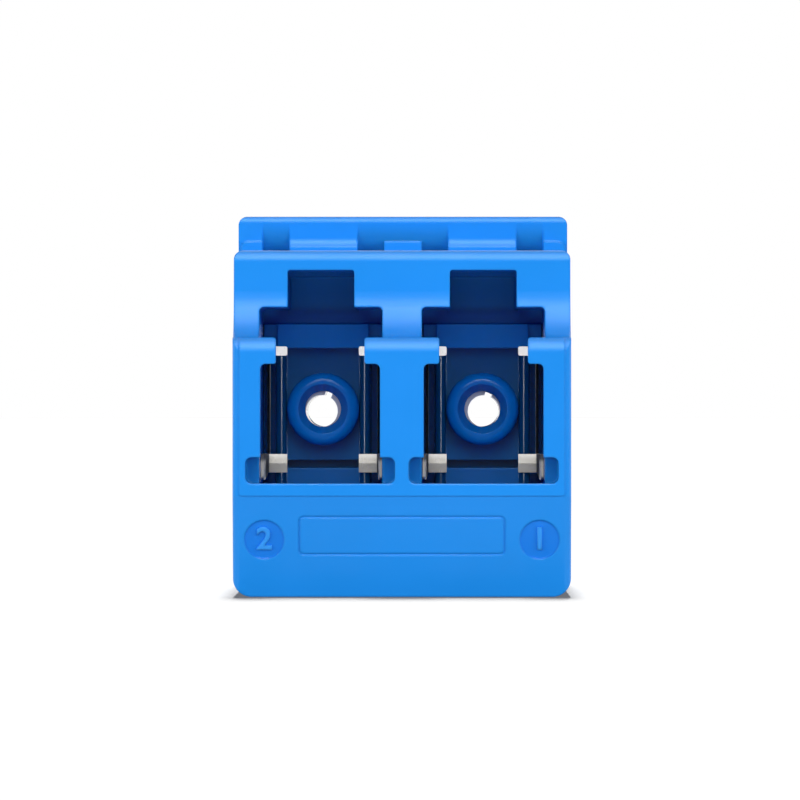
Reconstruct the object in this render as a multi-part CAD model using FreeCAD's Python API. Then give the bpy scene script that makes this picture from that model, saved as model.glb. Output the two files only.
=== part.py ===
import FreeCAD, Part
import math
import os

# LC duplex fibre adapter: two blue housings joined back to back, with a sleeve holder, a split
# ceramic sleeve and bent steel springs inside for each of the two channels.
# Millimetres. X to the right, Y to the rear, Z up. The origin is the middle of the footprint on the
# resting plane, and the housings meet in the plane Y = 0. The front half is modelled, and the rear
# half is its mirror image without the label. "above" and "below" count from the ferrule axis,
# "deep" counts from the front face, and "reach" counts from the joint towards the front face.

# Overall
half_length = 13.4
body_width = 12.95
axis_height = 7.2
port_pitch = 6.25

# Front face, label foot and nose
land_above = 2.735
land_deep = 0.9
land_round = 0.55
crease_below = 3.32
foot_lean = 1.0
foot_corner = 0.72
side_round = 0.25
pad_width = 12.45
pad_raise = 0.05
pad_corner = 0.12
cove_radius = 1.8
nose_above = 6.1
nose_round = 0.42
nose_corner = 0.35

# Collar at the joint, with its pockets, ribs and blocks
collar_above = 7.58
collar_half_length = 2.2
collar_round = 0.25
collar_corner = 0.35
pocket_lean = 1.0            # setback per height below the bend
pocket_bend_above = 6.58
pocket_bend_round = 1.7
end_pad_width = 0.94
end_pad_lean = 0.12
rib_width = 2.68
rib_foot_above = 6.39
rib_foot_flare = 0.18
rib_foot_round = 0.35
block_above = 6.6
block_proud = 0.35
centre_block_width = 1.48
side_block_width = 0.85
side_block_inset = 0.09
side_block_corner = 0.3

# Plug ports
port_width = 4.58
port_above = 1.72
port_below = 2.856
port_corner = 0.2
tab_gap = 3.39
tab_corner = 0.1
notch_width = 5.73
notch_below = 1.85
notch_deep = 2.2
notch_corner = 0.25
cavity_width = 4.734
cavity_above = 3.92
cavity_below = 3.0
cavity_corner = 0.17
latch_width = 2.57
latch_above = 5.385
latch_corner = 0.1
latch_draft_deg = 1.2

# Label on the foot
label_width = 7.93
label_height = 1.555
label_below = 4.85
label_corner = 0.22
label_groove = 0.08
label_groove_depth = 0.03
disc_radius = 0.77
disc_pitch = 10.53
disc_below = 5.0
disc_depth = 0.04

# Hollow of the foot and joint pegs
foot_wall = 1.0
foot_front_wall = 1.6
foot_rib = 1.6
peg_width = 0.7
peg_length = 1.2
peg_above = 6.65
peg_clearance = 0.03
peg_end_gap = 0.1

# Sleeve holder
holder_gap = 0.056
head_gap = 0.02
flange_width = 5.3
flange_thickness = 0.8
flange_above = 5.6
flange_below = 3.3
wall_reach = 2.6
post_reach = 3.8
post_width = 0.42
post_boss_gap = 0.015
head_above = 3.32
head_edge_above = 2.4
head_width = 3.57
shelf_reach = 3.2
ledge_reach = 3.4
ledge_below = 2.32
slot_below = 2.0
slot_depth = 1.0
boss_reach = 4.1
boss_radius = 1.42
boss_round = 0.34
boss_round_pull = 0.55       # share of the round over which its curve keeps its end directions
mouth_radius = 0.97
lip_radius = 0.7

# Split sleeve
sleeve_length = 6.8
sleeve_outer_radius = 0.8
sleeve_bore_radius = 0.625
sleeve_slot = 0.28
sleeve_clearance = 0.12
sleeve_end_gap = 0.1
sleeve_rest = {"left": (-0.055, -0.08), "right": (0.05, -0.085)}
sleeve_turn_deg = {"left": 22.0, "right": 16.0}

# Springs
spring_thickness = 0.1
spring_wall_gap = 0.147
spring_gap = 0.06
arm_bend = 0.04
arm_overlap = 0.03
arm_corner = 0.07
upper_arm_above = 2.45
upper_arm_height = 0.36
lower_arm_below = 2.49
lower_arm_height = 0.72
strip_reach = 1.9
flap_reach = 8.9
flap_top_below = 1.75
flap_root_below = 2.4
flap_tip_below = 2.74
flap_tip_round = 0.12
flap_tip_share = 0.6
flap_gap = 0.03

# Worked out from the sizes above
y_front = -half_length
y_face = y_front + pad_raise
y_tabs = y_front + land_deep
y_nose = y_tabs + cove_radius
y_collar = -collar_half_length
z_land = axis_height + land_above
z_crease = axis_height - crease_below
z_nose = axis_height + nose_above
z_collar = axis_height + collar_above
z_sill = axis_height - port_below
z_floor = axis_height - cavity_below
half_width = body_width / 2
post_inner = boss_radius + post_boss_gap
post_outer = post_inner + post_width
spring_inner = cavity_width / 2 - spring_wall_gap - spring_thickness
y_strip = -post_reach - spring_gap - spring_thickness
y_arm = y_strip - arm_bend
z_hollow = axis_height - flange_below - holder_gap - foot_wall
port_places = {"left": -port_pitch / 2, "right": port_pitch / 2}
past = 1.0    # how far a cutter runs past the solid


def xy(x, y):
    return FreeCAD.Vector(x, y, 0)


def xz(x, z):
    return FreeCAD.Vector(x, 0, z)


def yz(y, z):
    return FreeCAD.Vector(0, y, z)


def outline(plane, *corners):
    """Face on a plane through the origin. A corner is (a, b) or (a, b, radius)."""
    spots = [plane(corner[0], corner[1]) for corner in corners]
    rounds = []
    for index, corner in enumerate(corners):
        spot = spots[index]
        radius = corner[2] if len(corner) == 3 else 0
        if radius == 0:
            rounds.append([spot])
            continue
        back = (spots[index - 1] - spot).normalize()
        ahead = (spots[(index + 1) % len(spots)] - spot).normalize()
        half_angle = back.getAngle(ahead) / 2
        reach = radius / math.tan(half_angle)
        inset = radius / math.sin(half_angle) - radius
        middle = spot + (back + ahead).normalize() * inset
        rounds.append([spot + back * reach, middle, spot + ahead * reach])
    edges = []
    for index, points in enumerate(rounds):
        if len(points) == 3:
            edges.append(Part.Arc(*points).toShape())
        edges.append(Part.makeLine(points[-1], rounds[(index + 1) % len(rounds)][0]))
    return Part.Face(Part.Wire(edges))


def box(x0, x1, y0, y1, z0, z1):
    return Part.makeBox(x1 - x0, y1 - y0, z1 - z0, FreeCAD.Vector(x0, y0, z0))


def across(face, x0, x1):
    """Prism of a YZ face from x0 to x1."""
    face.translate(FreeCAD.Vector(x0, 0, 0))
    return face.extrude(FreeCAD.Vector(x1 - x0, 0, 0))


def along(face, y0, y1):
    """Prism of an XZ face from y0 to y1."""
    face.translate(FreeCAD.Vector(0, y0, 0))
    return face.extrude(FreeCAD.Vector(0, y1 - y0, 0))


def rounded(x0, x1, z0, z1, low, high):
    """XZ rectangle with a radius for its lower and its upper corners."""
    return outline(xz, (x0, z0, low), (x1, z0, low), (x1, z1, high), (x0, z1, high))


def rod(x, z, radius, y0, y1):
    """Cylinder along Y."""
    return Part.makeCylinder(radius, y1 - y0, FreeCAD.Vector(x, y0, z), FreeCAD.Vector(0, 1, 0))


def joined(shapes):
    return shapes[0].multiFuse(shapes[1:]).removeSplitter()


def mirrored(shape):
    """The same part for the rear half."""
    return shape.mirror(FreeCAD.Vector(0, 0, 0), FreeCAD.Vector(0, 1, 0))


# Housing


def nose_side(y):
    """Side outline of the foot, land, cove and nose with the front plane at y."""
    return outline(
        yz,
        (0, 0),
        (y, 0),
        (y, z_land, land_round),
        (y_nose, z_land, cove_radius),
        (y_nose, z_nose, nose_round),
        (0, z_nose),
    )


def nose_plan():
    """Plan of the nose with its rounded front edges."""
    return outline(
        xy,
        (-half_width, past),
        (-half_width, y_face, side_round),
        (half_width, y_face, side_round),
        (half_width, past),
    )


def nose_block():
    """Foot and nose: the side outline, narrowed by its front view and its plan."""
    block = across(nose_side(y_face), -half_width, half_width)
    front = rounded(-half_width, half_width, 0, z_nose, foot_corner, nose_corner)
    upper = nose_plan()
    upper.translate(FreeCAD.Vector(0, 0, z_crease))
    upper = upper.extrude(FreeCAD.Vector(0, 0, z_nose + past - z_crease))
    lower = nose_plan()
    lower.translate(FreeCAD.Vector(0, foot_lean, 0))
    lower = lower.extrude(FreeCAD.Vector(0, -foot_lean, z_crease))
    return block.common(along(front, y_face - past, 0)).common(upper.fuse(lower))


def face_pad():
    """Raised field round both ports."""
    field = rounded(-pad_width / 2, pad_width / 2, z_crease, z_land + past, pad_corner, pad_corner)
    return across(nose_side(y_front), -half_width, half_width).common(along(field, y_front, y_tabs))


def collar_side(lean):
    """Side outline of the collar, which leans back below its bend."""
    z_low = z_nose - past
    z_bend = axis_height + pocket_bend_above
    return outline(
        yz,
        (0, z_low),
        (y_collar + lean * (z_bend - z_low), z_low),
        (y_collar, z_bend, pocket_bend_round),
        (y_collar, z_collar, collar_round),
        (0, z_collar),
    )


def rib_side():
    """Side outline of a rib over a latch slot, with its flared foot on the nose."""
    z_low = z_nose - past
    z_foot = axis_height + rib_foot_above
    toe = y_collar - rib_foot_flare
    return outline(
        yz,
        (0, z_low),
        (toe, z_low),
        (toe, z_foot),
        (y_collar, z_foot + rib_foot_flare, rib_foot_round),
        (y_collar, z_collar, collar_round),
        (0, z_collar),
    )


def side_block(side):
    """Front view of a low block at one end of the collar, with its outer corner rounded."""
    outer = side * (half_width - side_block_inset)
    inner = outer - side * side_block_width
    z_low = z_nose - past
    z_high = axis_height + block_above
    return outline(
        xz, (inner, z_low), (outer, z_low), (outer, z_high, side_block_corner), (inner, z_high)
    )


def collar():
    """Raised collar with pockets between its end pads and latch ribs, and low blocks."""
    y_block = y_collar - block_proud
    z_block = axis_height + block_above
    half_block = centre_block_width / 2
    parts = [across(collar_side(pocket_lean), -half_width, half_width)]
    for side in (-1, 1):
        ends = sorted((side * half_width, side * (half_width - end_pad_width)))
        parts.append(across(collar_side(end_pad_lean), *ends))
        parts.append(along(side_block(side), y_block, 0))
    for x in port_places.values():
        parts.append(across(rib_side(), x - rib_width / 2, x + rib_width / 2))
    parts.append(box(-half_block, half_block, y_block, 0, z_nose - past, z_block))
    front = rounded(-half_width, half_width, 0, z_collar, foot_corner, collar_corner)
    return joined(parts).common(along(front, y_block, 0))


def latch_cut(x):
    """Upper part of the latch slot, with a moulding draft on its ceiling."""
    z_low = axis_height + cavity_above - past
    wires = []
    for y in (y_tabs, -wall_reach):
        drop = (y - y_tabs) * math.tan(math.radians(latch_draft_deg))
        z_high = axis_height + latch_above - drop
        face = rounded(x - latch_width / 2, x + latch_width / 2, z_low, z_high, 0, latch_corner)
        face.translate(FreeCAD.Vector(0, y, 0))
        wires.append(face.OuterWire)
    return Part.makeLoft(wires, True)


def tab_gap_face(x):
    """Front view of the gap between the two latch tabs, flared at both ends to round the tabs."""
    half_gap = tab_gap / 2
    half_flare = half_gap + 2 * tab_corner
    z_port = axis_height + port_above
    return outline(
        xz,
        (x - half_flare, z_port - past),
        (x + half_flare, z_port - past),
        (x + half_flare, z_port),
        (x + half_gap, z_port, tab_corner),
        (x + half_gap, z_land, tab_corner),
        (x + half_flare, z_land),
        (x + half_flare, z_land + past),
        (x - half_flare, z_land + past),
        (x - half_flare, z_land),
        (x - half_gap, z_land, tab_corner),
        (x - half_gap, z_port, tab_corner),
        (x - half_flare, z_port),
    )


def port_cut(x):
    """Plug port, T-shaped latch slot and holder pocket of one channel."""
    half_port = port_width / 2
    half_notch = notch_width / 2
    half_cavity = cavity_width / 2
    half_pocket = flange_width / 2 + holder_gap
    z_port = axis_height + port_above
    z_notch = axis_height - notch_below
    z_cavity = axis_height + cavity_above
    mouth = rounded(x - half_port, x + half_port, z_sill, z_port, 0, port_corner)
    cuts = [along(mouth, y_front - past, y_tabs), along(tab_gap_face(x), y_front - past, y_tabs)]
    notches = rounded(x - half_notch, x + half_notch, z_sill, z_notch, notch_corner, notch_corner)
    cuts.append(along(notches, y_front - past, y_front + notch_deep))
    cavity = rounded(x - half_cavity, x + half_cavity, z_floor, z_cavity, 0, cavity_corner)
    cuts.append(along(cavity, y_tabs, -wall_reach))
    cuts.append(latch_cut(x))
    window = (z_floor, axis_height + head_above + head_gap)
    cuts.append(box(x - half_cavity, x + half_cavity, -wall_reach, -flange_thickness, *window))
    pocket = (axis_height - flange_below - holder_gap, axis_height + flange_above + holder_gap)
    cuts.append(box(x - half_pocket, x + half_pocket, -flange_thickness, past, *pocket))
    return joined(cuts)


def foot_hollows():
    """Two pockets that core out the foot from the joint, with a rib between them."""
    y_low = y_face + foot_lean + foot_front_wall
    pockets = []
    for side in (-1, 1):
        ends = sorted((side * foot_rib / 2, side * (half_width - foot_wall)))
        pockets.append(box(*ends, y_low, past, foot_wall, z_hollow))
    return pockets


def peg(x, z, width, length):
    """Square peg across the joint."""
    half = width / 2
    return box(x - half, x + half, -peg_length, length, z - half, z + half)


def pegs(width, length):
    """Joint pegs: one under each rib of the collar and one in the foot's rib."""
    made = [peg(x, axis_height + peg_above, width, length) for x in port_places.values()]
    return [*made, peg(0, (foot_wall + z_hollow) / 2, width, length)]


def housing_half():
    cuts = [port_cut(x) for x in port_places.values()]
    return joined([nose_block(), face_pad(), collar()]).cut(cuts + foot_hollows())


def on_foot(shape, below):
    """Turns a cutter made at the origin, facing -Y, onto the leaning face of the foot."""
    slope = foot_lean / z_crease
    shape.rotate(FreeCAD.Vector(0, 0, 0), FreeCAD.Vector(1, 0, 0), math.degrees(math.atan(slope)))
    z = axis_height - below
    shape.translate(FreeCAD.Vector(0, y_face + (z_crease - z) * slope, z))
    return shape


def label_cuts():
    """Engraved outline of the label field and the two round recesses for the port numbers."""
    wide = label_width / 2
    high = label_height / 2
    outer = rounded(-wide, wide, -high, high, label_corner, label_corner)
    wide -= label_groove
    high -= label_groove
    corner = label_corner - label_groove
    inner = rounded(-wide, wide, -high, high, corner, corner)
    groove = along(outer, -past, label_groove_depth).cut(along(inner, -2 * past, past))
    cuts = [on_foot(groove, label_below)]
    for side in (-1, 1):
        disc = rod(side * disc_pitch / 2, 0, disc_radius, -past, disc_depth)
        cuts.append(on_foot(disc, disc_below))
    return cuts


def front_housing():
    return joined([housing_half().cut(label_cuts()), *pegs(peg_width, peg_length)])


def rear_housing():
    sockets = pegs(peg_width + 2 * peg_clearance, peg_length + peg_end_gap)
    return mirrored(housing_half()).cut(sockets)


# Sleeve holder


def boss(x):
    """Round boss with a rolled rim, still solid inside."""
    y_root = -wall_reach + holder_gap
    y_tip = -boss_reach
    y_round = y_tip + boss_round
    flat_radius = boss_radius - boss_round
    pull = boss_round_pull * boss_round
    rim = Part.BezierCurve()
    rim.setPoles([
        yz(y_round, boss_radius),
        yz(y_round - pull, boss_radius),
        yz(y_tip, flat_radius + pull),
        yz(y_tip, flat_radius),
    ])
    rest = Part.makePolygon([
        yz(y_tip, flat_radius),
        yz(y_tip, 0),
        yz(y_root, 0),
        yz(y_root, boss_radius),
        yz(y_round, boss_radius),
    ])
    section = Part.Face(Part.Wire([rim.toShape(), *rest.Edges]))
    turned = section.revolve(FreeCAD.Vector(0, 0, 0), FreeCAD.Vector(0, 1, 0), 360)
    turned.translate(FreeCAD.Vector(x, 0, axis_height))
    return turned


def post(x, side):
    """Upright beside the boss with a rounded front edge."""
    half = post_width / 2
    middle = x + side * (post_inner + half)
    z_low = z_floor + holder_gap
    z_high = axis_height + head_edge_above
    y_round = -post_reach + half
    front = Part.makeCylinder(half, z_high - z_low, FreeCAD.Vector(middle, y_round, z_low))
    return front.fuse(box(middle - half, middle + half, y_round, -wall_reach, z_low, z_high))


def holder_core(x):
    """Flange, back wall, head with its shelf, and ledge."""
    y_flange = -flange_thickness
    y_wall = -wall_reach
    z_low = z_floor + holder_gap
    z_edge = axis_height + head_edge_above
    z_head = axis_height + head_above
    z_ledge = axis_height - ledge_below
    half_flange = flange_width / 2
    half_shelf = cavity_width / 2 - holder_gap
    half_head = head_width / 2
    z_flange = (axis_height - flange_below, axis_height + flange_above)
    return [
        box(x - half_flange, x + half_flange, y_flange, 0, *z_flange),
        box(x - post_outer, x + post_outer, y_wall, y_flange, z_low, z_head),
        box(x - half_shelf, x + half_shelf, -shelf_reach, y_flange, z_edge, z_head),
        box(x - half_head, x + half_head, -post_reach, y_flange, z_edge, z_head),
        box(x - post_inner, x + post_inner, -ledge_reach, y_wall, z_low, z_ledge),
    ]


def lead_in(x, y_chamber):
    """Cone that guides a ferrule through the boss into the chamber."""
    y_tip = -boss_reach
    tip = FreeCAD.Vector(x, y_tip, axis_height)
    return Part.makeCone(mouth_radius, lip_radius, y_chamber - y_tip, tip, FreeCAD.Vector(0, 1, 0))


def wall_slot(x):
    """Slot across the back wall, over the ledge."""
    y_wall = -wall_reach
    z_slot = (axis_height - ledge_below, axis_height - slot_below)
    return box(x - post_inner, x + post_inner, y_wall, y_wall + slot_depth, *z_slot)


def sleeve_holder(x):
    """Front half of one channel's holder."""
    y_chamber = -sleeve_length / 2 - sleeve_end_gap
    chamber = rod(x, axis_height, sleeve_outer_radius + sleeve_clearance, y_chamber, past)
    solid = joined([*holder_core(x), post(x, -1), post(x, 1), boss(x)])
    return solid.cut([chamber, lead_in(x, y_chamber), wall_slot(x)])


def alignment_sleeve(x, rest, turn):
    """Split ceramic sleeve that floats in its chamber and rests a little off the axis."""
    sleeve = rod(0, 0, sleeve_outer_radius, -sleeve_length / 2, sleeve_length / 2)
    bore = rod(0, 0, sleeve_bore_radius, -sleeve_length, sleeve_length)
    half_slot = sleeve_slot / 2
    slot = box(-half_slot, half_slot, -sleeve_length, sleeve_length, 0, 2 * sleeve_outer_radius)
    sleeve = sleeve.cut([bore, slot])
    sleeve.rotate(FreeCAD.Vector(0, 0, 0), FreeCAD.Vector(0, 1, 0), turn)
    sleeve.translate(FreeCAD.Vector(x + rest[0], 0, axis_height + rest[1]))
    return sleeve


# Springs, made for a post on the +X side of a port whose ferrule axis is the Y axis


def upper_arm():
    """Flat arm across the post's top, with the corners of its free end rounded."""
    x_free = post_inner - arm_overlap
    x_root = spring_inner + spring_thickness
    z_low = upper_arm_above - upper_arm_height
    z_high = upper_arm_above
    face = outline(
        xz, (x_root, z_low), (x_root, z_high), (x_free, z_high, arm_corner), (x_free, z_low, arm_corner)
    )
    return along(face, y_strip, y_strip + spring_thickness)


def lower_arm():
    """Arm across the post's foot, with its upper half leaning back."""
    z_low = -lower_arm_below
    z_fold = z_low + lower_arm_height / 2
    z_high = z_low + lower_arm_height
    face = outline(
        yz,
        (y_strip, z_high),
        (y_arm, z_fold),
        (y_arm, z_low),
        (y_arm + spring_thickness, z_low),
        (y_arm + spring_thickness, z_fold),
        (y_strip + spring_thickness, z_high),
    )
    return across(face, post_inner - arm_overlap, spring_inner + spring_thickness)


def side_strip():
    """Strip between the post and the cavity wall, set back between its two arms."""
    ends = (spring_inner, spring_inner + spring_thickness)
    z_lower_arm = lower_arm_height - lower_arm_below
    z_upper_arm = upper_arm_above - upper_arm_height
    z_shelf = head_edge_above - spring_gap
    strip = box(*ends, y_strip, -flange_thickness, -lower_arm_below, z_shelf)
    return strip.cut(box(*ends, y_strip, -strip_reach, z_lower_arm, z_upper_arm))


def spring_flap():
    """Lead-in flap that runs forward and outward from the lower arm to the cavity's side wall."""
    outward = cavity_width / 2 - flap_gap - spring_thickness - spring_inner
    forward = flap_reach + y_strip
    length = math.hypot(outward, forward)
    face = outline(
        yz,
        (spring_thickness, -flap_top_below),
        (spring_thickness, -flap_root_below),
        (0, -flap_root_below),
        (-flap_tip_share * length, -flap_tip_below, flap_tip_round),
        (-length, -flap_tip_below, flap_tip_round),
        (-length, -flap_top_below),
    )
    flap = across(face, 0, spring_thickness)
    turn = math.degrees(math.atan2(outward, forward))
    flap.rotate(FreeCAD.Vector(0, 0, 0), FreeCAD.Vector(0, 0, 1), turn)
    flap.translate(FreeCAD.Vector(spring_inner, y_strip, 0))
    return flap


def spring(x, side):
    """Bent steel spring: a strip beside the post, two arms over it and a lead-in flap."""
    shape = joined([side_strip(), upper_arm(), lower_arm(), spring_flap()])
    if side < 0:
        shape = shape.mirror(FreeCAD.Vector(0, 0, 0), FreeCAD.Vector(1, 0, 0))
    shape.translate(FreeCAD.Vector(x, 0, axis_height))
    return shape


def all_parts():
    parts = {"front_housing": front_housing(), "rear_housing": rear_housing()}
    for port, x in port_places.items():
        holder = sleeve_holder(x)
        parts[f"front_{port}_sleeve_holder"] = holder
        parts[f"rear_{port}_sleeve_holder"] = mirrored(holder)
        sleeve = alignment_sleeve(x, sleeve_rest[port], sleeve_turn_deg[port])
        parts[f"{port}_alignment_sleeve"] = sleeve
        outward = math.copysign(1, x)
        for place, side in (("outer", outward), ("inner", -outward)):
            leaf = spring(x, side)
            parts[f"front_{port}_{place}_spring"] = leaf
            parts[f"rear_{port}_{place}_spring"] = mirrored(leaf)
    return parts


os.makedirs("parts", exist_ok=True)
for node, shape in all_parts().items():
    shape.exportStep(f"parts/{node}.step")
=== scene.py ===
import math
from collections import namedtuple

import bpy
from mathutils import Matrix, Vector


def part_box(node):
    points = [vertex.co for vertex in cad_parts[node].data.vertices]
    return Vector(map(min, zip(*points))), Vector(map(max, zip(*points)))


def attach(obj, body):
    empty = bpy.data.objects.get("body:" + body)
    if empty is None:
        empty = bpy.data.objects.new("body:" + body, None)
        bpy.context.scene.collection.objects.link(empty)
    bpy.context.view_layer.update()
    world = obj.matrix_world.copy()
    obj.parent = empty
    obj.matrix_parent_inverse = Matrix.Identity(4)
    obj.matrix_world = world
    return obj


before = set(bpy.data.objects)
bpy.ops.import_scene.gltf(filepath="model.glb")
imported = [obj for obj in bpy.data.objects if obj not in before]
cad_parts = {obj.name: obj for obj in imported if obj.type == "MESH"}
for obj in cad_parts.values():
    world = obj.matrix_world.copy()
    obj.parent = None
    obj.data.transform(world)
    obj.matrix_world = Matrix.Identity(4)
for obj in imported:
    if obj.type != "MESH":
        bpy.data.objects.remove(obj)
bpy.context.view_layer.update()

# Places on the part, in metres. The reach is the distance from the joint between the housings, and
# off is the distance from the middle plane of the nearer port. A pair is the place where a mask is 0
# and the place where it is 1.

AXIS_Z = 0.0072
PORT_X = 0.003125
FRONT_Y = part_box("front_housing")[0].y

CREASE_Z = AXIS_Z - 0.00332
CREASE_BLEND = (0.0001, 0.0003)
FOOT_LEAN = 0.001
FACE_SETBACK = 0.00005
DISC_X = 0.005265
DISC_Z = AXIS_Z - 0.005
DISC_RADIUS = 0.00077
DISC_EDGE = 0.00003
DISC_DEPTH = 0.00004

# Painted shade in the collar's pockets.
POCKET_REACH = 0.0023
POCKET_HALF_SPAN = 0.0055
POCKET_OFF = (0.00134, 0.00138)
POCKET_FOOT = (0.0130, 0.0132)
POCKET_TOP = (0.01465, 0.0138)

# Painted shade deep in the latch slots.
LATCH_REACH = (0.0100, 0.0095)
LATCH_OFF = 0.0014
LATCH_FLOOR = (0.0108, 0.0112)
LATCH_TOP = 0.0127

# Painted shade in the notches.
NOTCH_MOUTH = (0.0126, 0.0120)
NOTCH_END = (0.0100, 0.0106)
NOTCH_OFF = 0.0030
NOTCH_FLOOR = 0.0042
NOTCH_TOP = 0.0055

# Holder places: painted shade on the posts and beyond them, and a painted grey sheen on the back wall.
HEAD_Z = 0.00958
LEDGE_TOP = (0.0050, 0.0048)
BACK_WALL_REACH = (0.0032, 0.0028)
POST_INNER = (0.00141, 0.00145)
POST_OUTER = 0.00188
POST_REACH = (0.0026, 0.0028)
GAP_OFF = (0.00186, 0.00190)

# Painted shade: the strips and flaps are painted dull and dark, apart from a bright tip on each flap.
STRIP_REACH = (0.0042, 0.0041)
STRIP_OFF = (0.00210, 0.00213)
FLAP_REACH = (0.0041, 0.0043)
BRIGHT_TIP_REACH = (0.0066, 0.0074)
BRIGHT_TIP_TOP = (0.0053, 0.0051)
# Painted shade: the lower arms darker, and their lower halves darker still.
LOWER_ARM_SHADE_TOP = (0.0065, 0.0060)
LOWER_HALF_SHADE_TOP = (0.0054, 0.0052)

# Surfaces. A pattern is the scale and the detail of a noise, and a relief is a depth in metres and a
# strength.

EDGE_RADIUS = 0.00011
HOLDER_EDGE_RADIUS = 0.00004
CREASE_EDGE_SHARE = 0.2
EDGE_SAMPLES = 6
NOISE_SPAN = (0.3, 0.7)
ROUGH_SPREAD = 0.02

FLOW = (260.0, 3.0)
WAVES = (900.0, 2.0)
GRAIN = (16000.0, 2.0)
WAVE_RELIEF = (0.000012, 0.15)
GRAIN_RELIEF = (0.0000025, 0.5)

CERAMIC_CLOUDS = (700.0, 3.0)
CERAMIC_POLISH = (12000.0, 2.0)
CERAMIC_ROUGH = (0.04, 0.09)
CERAMIC_RELIEF = (0.0000004, 0.2)
CERAMIC_IOR = 2.15

STEEL_STREAKS = (30000.0, 3.0)
STEEL_CLOUDS = (1500.0, 2.0)
STEEL_STRETCH = (1.0, 1.0, 0.06)
STEEL_ROUGH = (0.26, 0.42)
STEEL_RELIEF = (0.000002, 0.5)
SIDEWAYS = (0.5, 0.8)
FLAP_SHADE_SHARE = 0.88


# Nodes


def connect(tree, value, socket):
    """Link the socket to another one, or set it to a plain number."""
    if isinstance(value, (int, float)):
        socket.default_value = value
    else:
        tree.links.new(value, socket)


def maths(tree, operation, first, second=0.0):
    node = tree.nodes.new("ShaderNodeMath")
    node.operation = operation
    connect(tree, first, node.inputs[0])
    connect(tree, second, node.inputs[1])
    return node.outputs[0]


def product(tree, first, *others):
    for other in others:
        first = maths(tree, "MULTIPLY", first, other)
    return first


def highest(tree, first, *others):
    for other in others:
        first = maths(tree, "MAXIMUM", first, other)
    return first


def size_of(tree, value):
    return maths(tree, "ABSOLUTE", value)


def below(tree, value, limit):
    """1 below the limit, else 0."""
    return maths(tree, "LESS_THAN", value, limit)


def band(tree, value, span, result=(0.0, 1.0), smooth=True):
    """The first result where the span starts, the second where it ends."""
    node = tree.nodes.new("ShaderNodeMapRange")
    node.interpolation_type = "SMOOTHSTEP" if smooth else "LINEAR"
    for name, level in zip(("From Min", "From Max", "To Min", "To Max"), (*span, *result)):
        node.inputs[name].default_value = level
    tree.links.new(value, node.inputs["Value"])
    return node.outputs["Result"]


def noise(tree, coords, pattern):
    node = tree.nodes.new("ShaderNodeTexNoise")
    node.inputs["Scale"].default_value, node.inputs["Detail"].default_value = pattern
    node.inputs["Roughness"].default_value = 0.5
    tree.links.new(coords, node.inputs["Vector"])
    return node.outputs["Fac"]


def two_tone(tree, pattern, dark, light):
    """Colour that follows a noise."""
    node = tree.nodes.new("ShaderNodeValToRGB")
    for end, position, colour in zip(node.color_ramp.elements, NOISE_SPAN, (dark, light)):
        end.position = position
        end.color = colour
    tree.links.new(pattern, node.inputs["Fac"])
    return node.outputs["Color"]


def tinted(tree, colour, tint, mask):
    """Colour multiplied by the tint where the mask is 1."""
    node = tree.nodes.new("ShaderNodeMix")
    node.data_type = "RGBA"
    node.blend_type = "MULTIPLY"
    tree.links.new(mask, node.inputs[0])
    tree.links.new(colour, node.inputs[6])
    node.inputs[7].default_value = tint
    return node.outputs[2]


def mixed(tree, first, second, mask):
    """The first colour, or the second where the mask is 1."""
    node = tree.nodes.new("ShaderNodeMix")
    node.data_type = "RGBA"
    tree.links.new(mask, node.inputs[0])
    tree.links.new(first, node.inputs[6])
    tree.links.new(second, node.inputs[7])
    return node.outputs[2]


def bump(tree, height, relief, normal=None):
    node = tree.nodes.new("ShaderNodeBump")
    node.inputs["Distance"].default_value, node.inputs["Strength"].default_value = relief
    tree.links.new(height, node.inputs["Height"])
    if normal is not None:
        tree.links.new(normal, node.inputs["Normal"])
    return node.outputs["Normal"]


def parts_of(tree, vector):
    """X, Y and Z of a vector, as sockets."""
    node = tree.nodes.new("ShaderNodeSeparateXYZ")
    tree.links.new(vector, node.inputs[0])
    return node.outputs


Spot = namedtuple("Spot", "coords x y z reach off")


def shaded_spot(tree):
    """Where the shaded point is."""
    coords = tree.nodes.new("ShaderNodeTexCoord").outputs["Object"]
    x, y, z = parts_of(tree, coords)
    off = size_of(tree, maths(tree, "SUBTRACT", size_of(tree, x), PORT_X))
    return Spot(coords, x, y, z, size_of(tree, y), off)


# Masks


def disc_mask(tree, at):
    """1 on the floors of the two round recesses."""
    across = maths(tree, "SUBTRACT", size_of(tree, at.x), DISC_X)
    up = maths(tree, "SUBTRACT", at.z, DISC_Z)
    square = maths(tree, "ADD", product(tree, across, across), product(tree, up, up))
    inside = band(tree, maths(tree, "SQRT", square), (DISC_RADIUS, DISC_RADIUS - DISC_EDGE))
    return product(tree, inside, below(tree, at.y, 0.0))


def pocket_shade_mask(tree, at):
    """1 in the pockets of the collar, less towards their tops: painted shade, darker towards their
    feet.
    """
    deep = below(tree, at.reach, POCKET_REACH)
    inner = below(tree, size_of(tree, at.x), POCKET_HALF_SPAN)
    beside = band(tree, at.off, POCKET_OFF)
    foot = product(tree, band(tree, at.z, POCKET_FOOT), band(tree, at.z, POCKET_TOP))
    return product(tree, deep, inner, beside, foot)


def latch_shade_mask(tree, at):
    """1 deep inside the latch slots, where the tint paints shade."""
    deep = band(tree, at.reach, LATCH_REACH)
    inside = below(tree, at.off, LATCH_OFF)
    return product(tree, deep, inside, band(tree, at.z, LATCH_FLOOR), below(tree, at.z, LATCH_TOP))


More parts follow.
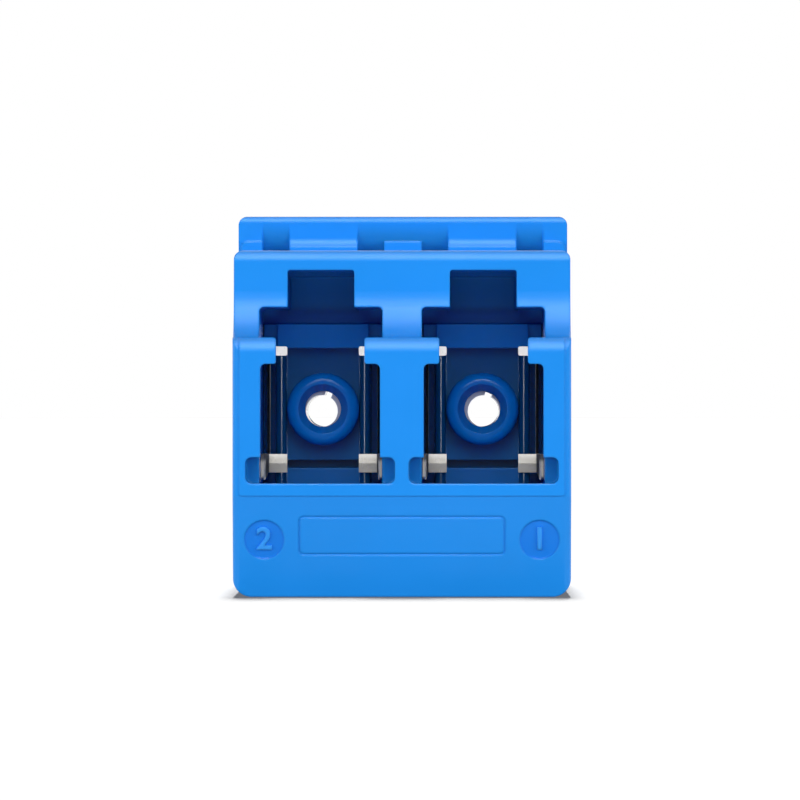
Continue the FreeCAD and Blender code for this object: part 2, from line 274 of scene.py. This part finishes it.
def notch_shade_mask(tree, at):
    """1 in the notches beside the foot of each port, where the tint paints shade."""
    deep = product(tree, band(tree, at.reach, NOTCH_MOUTH), band(tree, at.reach, NOTCH_END))
    inside = below(tree, at.off, NOTCH_OFF)
    above = maths(tree, "GREATER_THAN", at.z, NOTCH_FLOOR)
    return product(tree, deep, inside, above, below(tree, at.z, NOTCH_TOP))


def post_shade_mask(tree, at):
    """1 on the holder's posts, where the tint paints shade."""
    across = product(tree, band(tree, at.off, POST_INNER), below(tree, at.off, POST_OUTER))
    return product(tree, across, band(tree, at.reach, POST_REACH), below(tree, at.z, HEAD_Z))


def gap_shade_mask(tree, at):
    """1 on the holder beyond its posts, where the tint paints the deep shade navy, without the red of
    the wall's painted sheen.
    """
    return product(tree, band(tree, at.off, GAP_OFF), below(tree, at.z, HEAD_Z))


def wall_sheen_mask(tree, at):
    """1 on the holder's back wall, posts and ledge, 0 on its boss and head. The tint there paints a
    grey sheen by raising red, and darkens green and blue.
    """
    wall = band(tree, at.reach, BACK_WALL_REACH)
    post = band(tree, at.off, POST_INNER)
    ledge = band(tree, at.z, LEDGE_TOP)
    return product(tree, below(tree, at.z, HEAD_Z), highest(tree, wall, post, ledge))


def strip_mask(tree, at):
    """1 on the strips beside the posts."""
    return product(tree, band(tree, at.reach, STRIP_REACH), band(tree, at.off, STRIP_OFF))


def flap_mask(tree, at):
    """1 on the flaps, where they are painted dark as shade, apart from a tip in the lower half of each,
    which stays bright metal.
    """
    bright_tip = product(tree, band(tree, at.reach, BRIGHT_TIP_REACH), band(tree, at.z, BRIGHT_TIP_TOP))
    return product(tree, band(tree, at.reach, FLAP_REACH), maths(tree, "SUBTRACT", 1.0, bright_tip))


def sideways_sheen_mask(tree):
    """1 where the surface faces sideways, where the strips get a painted sheen."""
    facing = parts_of(tree, tree.nodes.new("ShaderNodeNewGeometry").outputs["Normal"])
    return band(tree, size_of(tree, facing[0]), SIDEWAYS)


# Materials


def new_material(name):
    mat = bpy.data.materials.new(name)
    mat.use_nodes = True
    return mat, mat.node_tree, mat.node_tree.nodes["Principled BSDF"].inputs


def soft_edges(tree, at, radius):
    """Normal that rounds the moulded edges, much less along the crease of the foot."""
    away = size_of(tree, maths(tree, "SUBTRACT", at.z, CREASE_Z))
    share = highest(tree, band(tree, away, CREASE_BLEND), CREASE_EDGE_SHARE)
    node = tree.nodes.new("ShaderNodeBevel")
    node.samples = EDGE_SAMPLES
    tree.links.new(product(tree, share, radius), node.inputs["Radius"])
    return node.outputs["Normal"]


def plastic(name, dark, light, rough, specular, shades=(), radius=EDGE_RADIUS):
    """Moulded plastic: faint flow variation, fine eroded grain and uneven gloss."""
    mat, tree, shader = new_material(name)
    at = shaded_spot(tree)
    waves = noise(tree, at.coords, WAVES)
    grain = noise(tree, at.coords, GRAIN)
    colour = two_tone(tree, noise(tree, at.coords, FLOW), dark, light)
    for tint, mask in shades:
        colour = tinted(tree, colour, tint, mask(tree, at))
    tree.links.new(colour, shader["Base Color"])
    gloss = band(tree, waves, NOISE_SPAN, (rough - ROUGH_SPREAD, rough + ROUGH_SPREAD), smooth=False)
    tree.links.new(gloss, shader["Roughness"])
    normal = bump(tree, waves, WAVE_RELIEF, soft_edges(tree, at, radius))
    tree.links.new(bump(tree, grain, GRAIN_RELIEF, normal), shader["Normal"])
    shader["Specular IOR Level"].default_value = specular
    return mat


def ceramic(name):
    """Ground zirconia with a faint polish."""
    mat, tree, shader = new_material(name)
    coords = tree.nodes.new("ShaderNodeTexCoord").outputs["Object"]
    fine = noise(tree, coords, CERAMIC_POLISH)
    clouds = noise(tree, coords, CERAMIC_CLOUDS)
    pale = two_tone(tree, clouds, (0.70, 0.68, 0.72, 1), (0.80, 0.78, 0.80, 1))
    tree.links.new(pale, shader["Base Color"])
    gloss = band(tree, fine, NOISE_SPAN, CERAMIC_ROUGH, smooth=False)
    tree.links.new(gloss, shader["Roughness"])
    tree.links.new(bump(tree, fine, CERAMIC_RELIEF), shader["Normal"])
    shader["IOR"].default_value = CERAMIC_IOR
    return mat


def spring_steel(name):
    """Rolled strip: bright metal with fine streaks along the roll, painted dull and dark as shade on
    the strips and flaps, and painted darker as shade on the lower arms.
    """
    mat, tree, shader = new_material(name)
    at = shaded_spot(tree)
    stretch = tree.nodes.new("ShaderNodeMapping")
    stretch.inputs["Scale"].default_value = STEEL_STRETCH
    tree.links.new(at.coords, stretch.inputs["Vector"])
    streaks = noise(tree, stretch.outputs["Vector"], STEEL_STREAKS)
    clouds = noise(tree, at.coords, STEEL_CLOUDS)
    metal = two_tone(tree, clouds, (0.74, 0.72, 0.67, 1), (0.82, 0.80, 0.75, 1))
    # painted shade: the lower arms darker, their lower halves darker still
    metal = tinted(tree, metal, (0.46, 0.46, 0.46, 1), band(tree, at.z, LOWER_ARM_SHADE_TOP))
    metal = tinted(tree, metal, (0.80, 0.79, 0.77, 1), band(tree, at.z, LOWER_HALF_SHADE_TOP))
    strip = strip_mask(tree, at)
    # painted shade: a dull dark colour on the strips and flaps, navy on the strips
    painted_shade = two_tone(tree, clouds, (0.07, 0.068, 0.06, 1), (0.115, 0.112, 0.098, 1))
    painted_shade = tinted(tree, painted_shade, (0.35, 0.6, 1.1, 1), strip)
    # painted sheen: lighter and warmer where the strip faces sideways, in place of the steel's
    # reflection
    painted_shade = tinted(tree, painted_shade, (4.0, 3.0, 2.2, 1), product(tree, strip, sideways_sheen_mask(tree)))
    shade_cover = highest(tree, product(tree, flap_mask(tree, at), FLAP_SHADE_SHARE), strip)
    tree.links.new(mixed(tree, metal, painted_shade, shade_cover), shader["Base Color"])
    tree.links.new(maths(tree, "SUBTRACT", 1.0, shade_cover), shader["Metallic"])
    gloss = band(tree, streaks, NOISE_SPAN, STEEL_ROUGH, smooth=False)
    tree.links.new(gloss, shader["Roughness"])
    tree.links.new(bump(tree, streaks, STEEL_RELIEF), shader["Normal"])
    shader["Specular IOR Level"].default_value = 0.0
    return mat


housing_mat = plastic(
    "housing_plastic",
    dark=(0.010, 0.238, 0.745, 1),
    light=(0.012, 0.250, 0.785, 1),
    rough=0.24,
    specular=0.35,
    shades=(
        ((0.6, 0.77, 0.95, 1), disc_mask),
        # painted shade in the collar's pockets
        ((0.92, 0.80, 0.67, 1), pocket_shade_mask),
        # painted shade deep in the latch slots
        ((0.4, 0.76, 0.72, 1), latch_shade_mask),
        # painted shade in the notches beside the port feet
        ((0.4, 0.85, 0.72, 1), notch_shade_mask),
    ),
)
numeral_mat = plastic(
    "numeral_plastic",
    dark=(0.025, 0.27, 0.80, 1),
    light=(0.035, 0.29, 0.84, 1),
    rough=0.3,
    specular=0.3,
)
holder_mat = plastic(
    "holder_plastic",
    dark=(0.002, 0.24, 0.70, 1),
    light=(0.004, 0.26, 0.76, 1),
    rough=0.09,
    specular=0.35,
    shades=(
        # painted grey sheen, and a darker tone, on the back wall, posts and ledge
        ((5.0, 0.7, 0.65, 1), wall_sheen_mask),
        # painted shade on the posts
        ((0.3, 0.45, 0.42, 1), post_shade_mask),
        # painted navy shade beyond the posts, without the red of the wall's painted sheen
        ((0.1, 1.3, 2.0, 1), gap_shade_mask),
        # painted shade deep in the latch slots
        ((0.4, 0.76, 0.72, 1), latch_shade_mask),
    ),
    radius=HOLDER_EDGE_RADIUS,
)
materials = {
    "housing": housing_mat,
    "holder": holder_mat,
    "sleeve": ceramic("sleeve_ceramic"),
    "spring": spring_steel("spring_steel"),
}

for node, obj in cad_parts.items():
    obj.data.materials.clear()
    obj.data.materials.append(materials[node.split("_")[-1]])


# Port numbers: raised numerals in the round recesses of the label foot

NUMERAL_SIZE = 0.00122
NUMERAL_SWELL = 0.00001
NUMERAL_THICKNESS = 0.00002
NUMERAL_BEVEL = 0.00002
NUMERAL_RISE = 0.00003


def numeral(name, text, x, y, z, lean):
    curve = bpy.data.curves.new(name, "FONT")
    curve.body = text
    curve.align_x = "CENTER"
    curve.align_y = "CENTER"
    curve.size = NUMERAL_SIZE
    curve.offset = NUMERAL_SWELL
    curve.extrude = NUMERAL_THICKNESS
    curve.bevel_depth = NUMERAL_BEVEL
    curve.bevel_resolution = 2
    obj = bpy.data.objects.new(name, curve)
    bpy.context.collection.objects.link(obj)
    obj.rotation_euler = (math.radians(90) + lean, 0, 0)
    obj.location = (x, y, z)
    curve.materials.append(numeral_mat)
    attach(obj, "root")


slope = FOOT_LEAN / CREASE_Z
disc_y = FRONT_Y + FACE_SETBACK + (CREASE_Z - DISC_Z) * slope + DISC_DEPTH
for text, side in (("2", -1), ("1", 1)):
    numeral("numeral_" + text, text, side * DISC_X, disc_y - NUMERAL_RISE, DISC_Z, math.atan(slope))


# Studio. A lamp's azimuth is counted from the front to the right, in degrees.

FLOOR_HALF = 6.0
FLOOR_DROP = 0.00001
FLOOR_GREY = (0.045, 0.045, 0.045, 1)
FLOOR_SEEN_GREY = (0.156, 0.156, 0.156, 1)
FLOOR_GLOW = 0.15
FLOOR_MIRRORED_Y = (-0.06, 0.0)
FLOOR_MIRRORED = 0.8

BACKDROP_Y = (-0.2, 0.25)
FRONT_Y_BAND = (-0.985, -0.93)
FRONT_LEVEL = 0.25
SOFTBOX_Z = (0.1, 0.75)
SOFTBOX_X = (0.3, 0.5)
SOFTBOX_Y = (-0.75, 0.35)
SOFTBOX_LEVELS = (7.0, 1.0)
ROOM_LEVEL = 0.05

# Name, azimuth, elevation and strength
ADAPTER_SUNS = (
    ("key", 0, 25, 1.22),
    ("left", -60, 9, 2.4),
    ("right", 60, 9, 2.4),
    ("side_left", -110, 5, 0.8),
    ("side_right", 110, 5, 0.8),
    ("rear", 180, 5, 2.8),
)
ADAPTER_SUN_ANGLE = 40
BOUNCE = (0, -32, 0.5, 20)
SPARKS = (("spark_left", -12), ("spark_right", 12))
SPARK = (1, 0.4, 8)
GLINTS = (("glint_front", 0), ("glint_rear", 180))
GLINT = (14, 1.3, 60)
BACKDROP_SHARES = (0.16, 0.16, 0.16, 0.15, 0.13, 0.11, 0.08, 0.05)
BACKDROP_TOP = 86.0
BACKDROP_STEP = 5.5
BACKDROP_STRENGTH = 17.75
BACKDROP_ANGLE = 6

CAMERA_X = 0.0013
CAMERA_DISTANCE = 0.35
AIM_X = -0.00007
AIM_RISE = 0.00034


def seen_white(tree, mirrored):
    """1 for camera and transmission rays, this socket's value for glossy rays, else 0."""
    path = tree.nodes.new("ShaderNodeLightPath").outputs
    seen = highest(tree, path["Is Camera Ray"], path["Is Transmission Ray"])
    return highest(tree, seen, product(tree, path["Is Glossy Ray"], mirrored))


def diffuse(tree, colour):
    node = tree.nodes.new("ShaderNodeBsdfDiffuse")
    node.inputs["Color"].default_value = colour
    return node.outputs[0]


def studio_floor():
    """Grey to the light, white to the camera apart from the shadow."""
    mesh = bpy.data.meshes.new("floor")
    corners = [(x * FLOOR_HALF, y * FLOOR_HALF, 0) for x, y in ((-1, -1), (1, -1), (1, 1), (-1, 1))]
    mesh.from_pydata(corners, [], [(0, 1, 2, 3)])
    obj = bpy.data.objects.new("floor", mesh)
    bpy.context.collection.objects.link(obj)
    obj.location.z = -FLOOR_DROP
    mat = bpy.data.materials.new("floor")
    mat.use_nodes = True
    tree = mat.node_tree
    tree.nodes.clear()
    y = parts_of(tree, tree.nodes.new("ShaderNodeNewGeometry").outputs["Position"])[1]
    mirrored = product(tree, band(tree, y, FLOOR_MIRRORED_Y), FLOOR_MIRRORED)
    glow = tree.nodes.new("ShaderNodeEmission")
    glow.inputs["Strength"].default_value = FLOOR_GLOW
    both = tree.nodes.new("ShaderNodeAddShader")
    tree.links.new(diffuse(tree, FLOOR_SEEN_GREY), both.inputs[0])
    tree.links.new(glow.outputs[0], both.inputs[1])
    mix = tree.nodes.new("ShaderNodeMixShader")
    tree.links.new(seen_white(tree, mirrored), mix.inputs["Fac"])
    tree.links.new(diffuse(tree, FLOOR_GREY), mix.inputs[1])
    tree.links.new(both.outputs[0], mix.inputs[2])
    out = tree.nodes.new("ShaderNodeOutputMaterial")
    tree.links.new(mix.outputs[0], out.inputs["Surface"])
    mesh.materials.append(mat)
    return obj


def studio_world():
    """White to the camera. Gloss mirrors a backdrop behind, a softbox overhead and a dim front."""
    world = bpy.data.worlds.new("studio")
    world.use_nodes = True
    bpy.context.scene.world = world
    tree = world.node_tree
    x, y, z = parts_of(tree, tree.nodes.new("ShaderNodeTexCoord").outputs["Generated"])
    backdrop = band(tree, y, BACKDROP_Y)
    front = band(tree, y, FRONT_Y_BAND, (0.0, FRONT_LEVEL))
    height = band(tree, z, SOFTBOX_Z)
    width = band(tree, size_of(tree, x), SOFTBOX_X, (1.0, 0.0))
    softbox = product(tree, height, width, band(tree, y, SOFTBOX_Y, SOFTBOX_LEVELS))
    shown = highest(tree, backdrop, front, softbox)
    bright = seen_white(tree, maths(tree, "MINIMUM", shown, 1.0))
    beyond = highest(tree, maths(tree, "SUBTRACT", shown, 1.0), 0.0)
    glossy = tree.nodes.new("ShaderNodeLightPath").outputs["Is Glossy Ray"]
    level = maths(tree, "ADD", bright, product(tree, beyond, glossy))
    shader = tree.nodes["Background"].inputs
    tree.links.new(highest(tree, level, ROOM_LEVEL), shader["Strength"])
    shader["Color"].default_value = (1, 1, 1, 1)


def soft_sun(name, azimuth, elevation, strength, angle, receivers):
    """Lamp for some objects only, which gloss doesn't mirror."""
    lamp = bpy.data.lights.new(name, "SUN")
    lamp.energy = strength
    lamp.angle = math.radians(angle)
    obj = bpy.data.objects.new(name, lamp)
    bpy.context.collection.objects.link(obj)
    turn, rise = math.radians(azimuth), math.radians(elevation)
    flat = math.cos(rise)
    towards = Vector((math.sin(turn) * flat, -math.cos(turn) * flat, math.sin(rise)))
    obj.rotation_euler = towards.to_track_quat("Z", "Y").to_euler()
    obj.light_linking.receiver_collection = receivers
    obj.visible_glossy = False
    return obj


def gloss_sun(name, azimuth, settings, receivers, blockers):
    """Lamp that only gloss shows."""
    obj = soft_sun(name, azimuth, *settings, receivers)
    obj.light_linking.blocker_collection = blockers
    obj.visible_glossy = True
    obj.visible_diffuse = False


def lit_group(name, objects):
    group = bpy.data.collections.new(name)
    for obj in objects:
        group.objects.link(obj)
    return group


def studio_camera():
    """Camera at the height of the ferrule axis, a little to the right of the middle."""
    camera = bpy.data.cameras.new("camera")
    camera.sensor_width = 36.0
    camera.lens = 412.5
    camera.clip_start = 0.01
    camera.clip_end = 20.0
    obj = bpy.data.objects.new("camera", camera)
    bpy.context.collection.objects.link(obj)
    obj.location = (CAMERA_X, FRONT_Y - CAMERA_DISTANCE, AXIS_Z)
    aim = Vector((AIM_X, FRONT_Y, AXIS_Z + AIM_RISE)) - obj.location
    obj.rotation_euler = aim.to_track_quat("-Z", "Y").to_euler()
    bpy.context.scene.camera = obj


floor = studio_floor()
studio_world()
pieces = [obj for obj in bpy.context.scene.objects if obj.type in {"MESH", "FONT"} and obj is not floor]
adapter_group = lit_group("adapter_lit", pieces)
spring_group = lit_group("springs_lit", [obj for obj in pieces if obj.name.endswith("_spring")])
holder_group = lit_group("holders_lit", [obj for obj in pieces if obj.name.endswith("_holder")])
floor_group = lit_group("floor_lit", [floor])

for name, azimuth, elevation, strength in ADAPTER_SUNS:
    soft_sun(name, azimuth, elevation, strength, ADAPTER_SUN_ANGLE, adapter_group)
bounce = soft_sun("bounce", *BOUNCE, adapter_group)
bounce.light_linking.blocker_collection = adapter_group
for name, azimuth in SPARKS:
    gloss_sun(name, azimuth, SPARK, holder_group, adapter_group)
for name, azimuth in GLINTS:
    gloss_sun(name, azimuth, GLINT, spring_group, spring_group)
for step, share in enumerate(BACKDROP_SHARES):
    elevation = BACKDROP_TOP - BACKDROP_STEP * step
    strength = BACKDROP_STRENGTH * share / math.sin(math.radians(elevation))
    soft_sun("backdrop_%d" % step, 180, elevation, strength, BACKDROP_ANGLE, floor_group)

studio_camera()
bpy.context.scene.view_settings.view_transform = "Standard"
